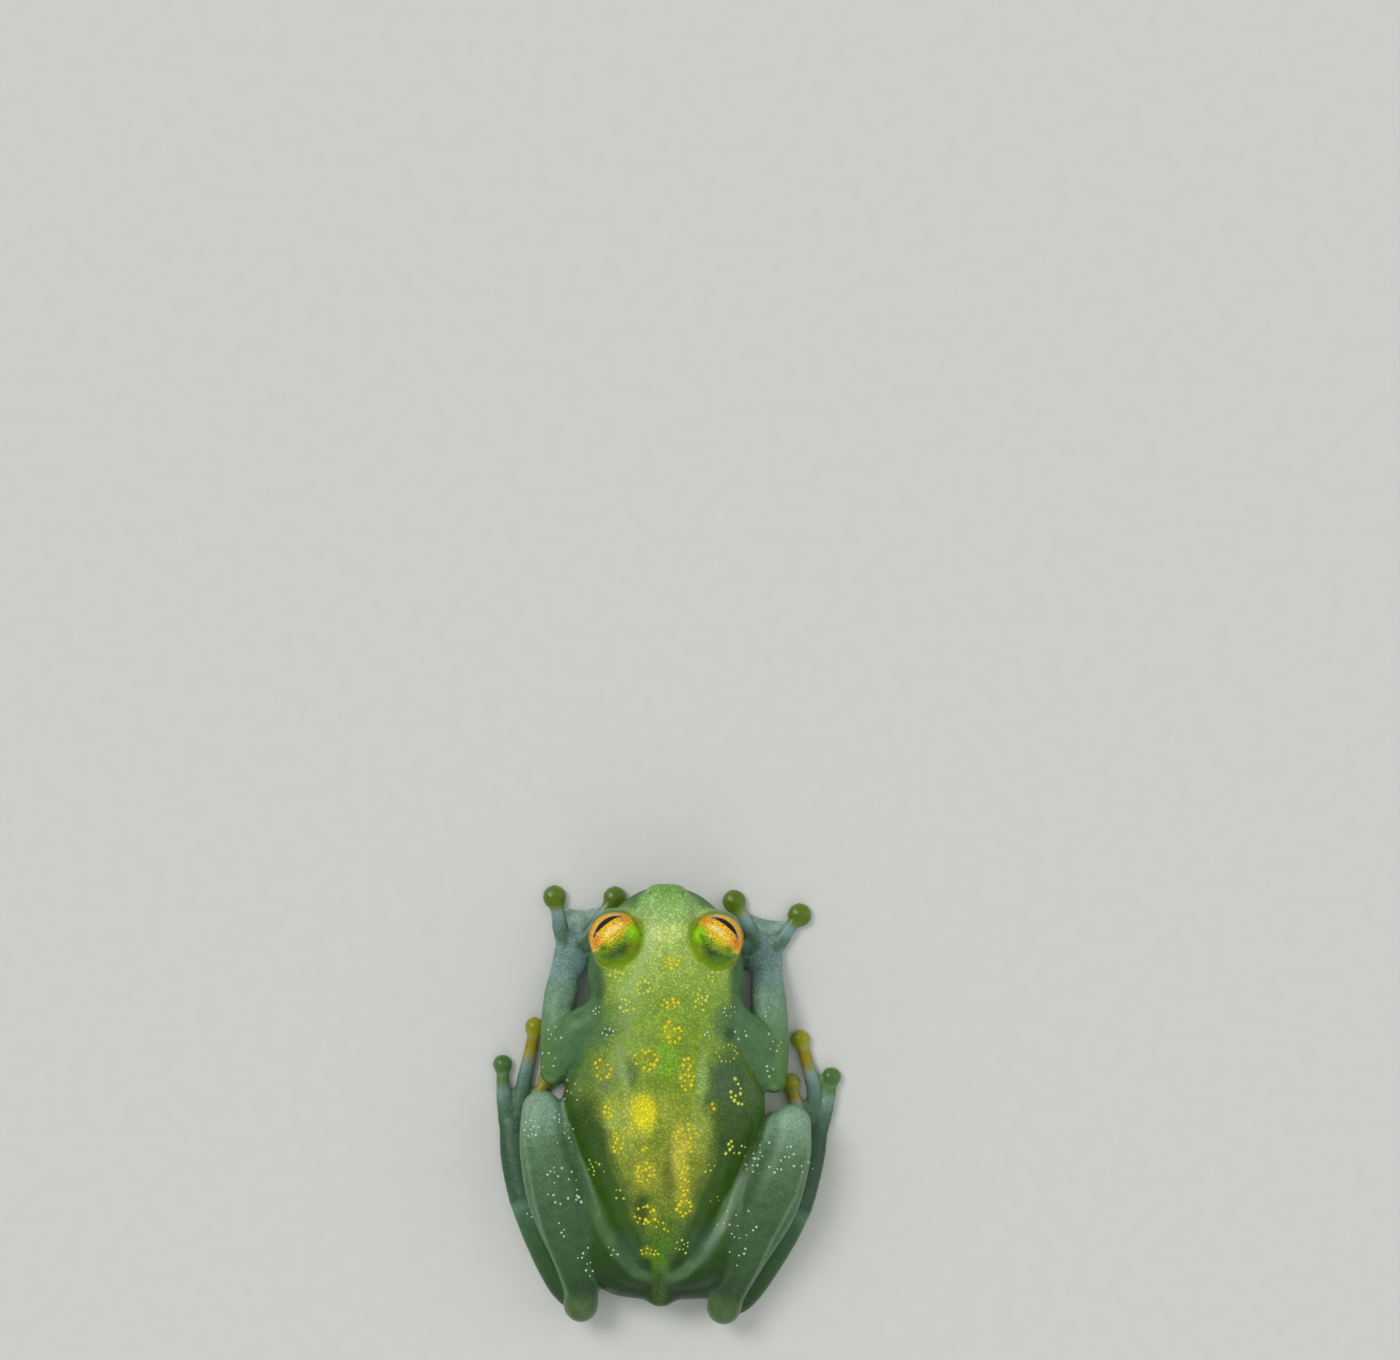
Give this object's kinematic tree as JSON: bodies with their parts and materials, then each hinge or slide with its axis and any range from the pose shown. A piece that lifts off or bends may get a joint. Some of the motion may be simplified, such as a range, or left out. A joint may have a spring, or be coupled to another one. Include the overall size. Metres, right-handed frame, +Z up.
{
  "type": "glass frog",
  "caption": "Life-size still model of an adult glass frog crouched flat: translucent green skin with yellow spots, gold eyes with slit pupils, round-tipped webbed fingers and toes.",
  "frame": {"origin": "on the flat of the belly that the frog rests on, on the body's midline, about midway between snout and vent", "axes": "+Y points to the snout, +X to the frog's right, +Z up from the floor; the feet, hands and belly rest at z = 0"},
  "size_m": [0.0207, 0.0261, 0.0056],
  "materials": {
    "back_skin": "moist fine-grained frog skin, yellow-green and translucent, with small raised yellow spots",
    "belly_skin": "smooth moist clear skin, pale bluish green",
    "limb_skin": "smooth moist translucent skin, bluish green, with a few small pale spots",
    "digit_skin": "smooth moist skin, green to amber, on rounded toe pads",
    "eye": "wet gold iris netted with fine dark lines, with a narrow curved black pupil"
  },
  "bodies": {
    "root": {"ankle_left": "limb_skin", "ankle_right": "limb_skin", "eye_left": "eye", "eye_right": "eye", "finger_1_left": "digit_skin", "finger_1_right": "digit_skin", "finger_2_left": "digit_skin", "finger_2_right": "digit_skin", "finger_3_left": "digit_skin", "finger_3_right": "digit_skin", "finger_4_left": "digit_skin", "finger_4_right": "digit_skin", "foot_left": "limb_skin", "foot_right": "limb_skin", "forearm_left": "limb_skin", "forearm_right": "limb_skin", "hand_left": "limb_skin", "hand_right": "limb_skin", "head": "back_skin", "lower_jaw": "belly_skin", "shank_left": "limb_skin", "shank_right": "limb_skin", "thigh_left": "limb_skin", "thigh_right": "limb_skin", "toe_1_left": "digit_skin", "toe_1_right": "digit_skin", "toe_2_left": "digit_skin", "toe_2_right": "digit_skin", "toe_3_left": "digit_skin", "toe_3_right": "digit_skin", "toe_4_left": "digit_skin", "toe_4_right": "digit_skin", "toe_5_left": "digit_skin", "toe_5_right": "digit_skin", "torso": "back_skin", "upper_arm_left": "limb_skin", "upper_arm_right": "limb_skin"}
  },
  "joints": []
}
